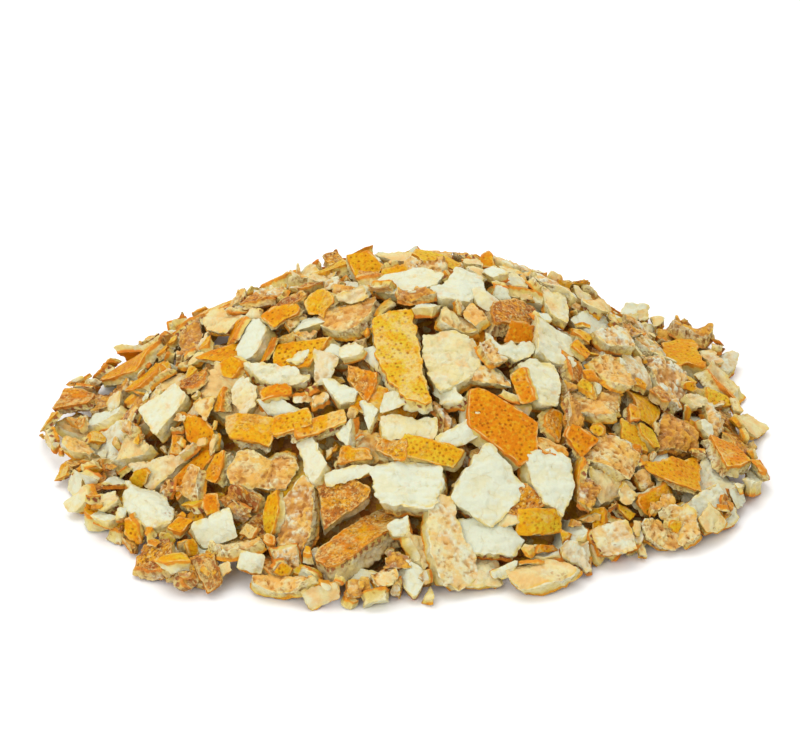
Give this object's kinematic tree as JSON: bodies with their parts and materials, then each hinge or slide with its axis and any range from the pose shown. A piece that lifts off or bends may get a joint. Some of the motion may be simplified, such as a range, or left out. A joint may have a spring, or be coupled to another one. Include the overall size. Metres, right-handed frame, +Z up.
{
  "type": "heap of dried cut orange peel",
  "caption": "Loose low heap of dried, cut orange peel: small ragged chips, some showing white pith, some orange pitted zest, some browned.",
  "frame": {"origin": "middle of the heap's foot, on the surface it lies on", "axes": "+X along the heap's longer side, +Y away from the viewer, +Z up"},
  "size_m": [0.086, 0.073, 0.024],
  "materials": {
    "dried_peel": "matt",
    "pith_side": "matt",
    "zest_side": "satin",
    "browned_peel": "matt"
  },
  "bodies": {
    "root": {"peel_heap": "dried_peel"}
  },
  "joints": []
}
